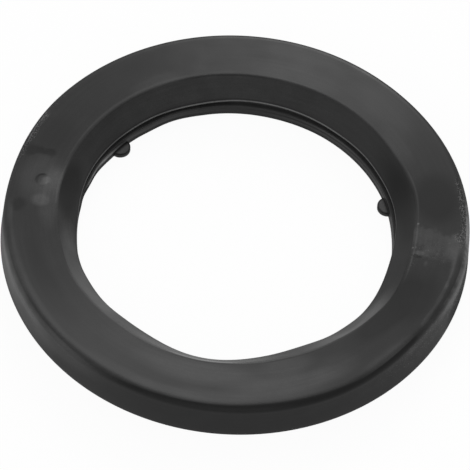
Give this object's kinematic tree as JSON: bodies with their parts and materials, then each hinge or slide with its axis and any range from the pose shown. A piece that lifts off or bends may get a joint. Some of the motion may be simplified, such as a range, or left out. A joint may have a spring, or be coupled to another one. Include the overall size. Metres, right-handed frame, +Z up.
{
  "type": "sealing ring",
  "caption": "Flat black rubber sealing ring whose top face falls in a cone to a thin, gently waved inner lip over a groove and a round bore.",
  "frame": {"origin": "on the ring's axis, at the plane of its flat base", "axes": "+Z up along the ring's axis, from the base towards the top face; +X to the right and +Y away as the picture shows the ring"},
  "size_m": [0.112, 0.112, 0.0098],
  "materials": {
    "rubber": "moulded black rubber, satin, with a few grey scuffs"
  },
  "bodies": {
    "root": {"sealing_ring": "rubber"}
  },
  "joints": []
}
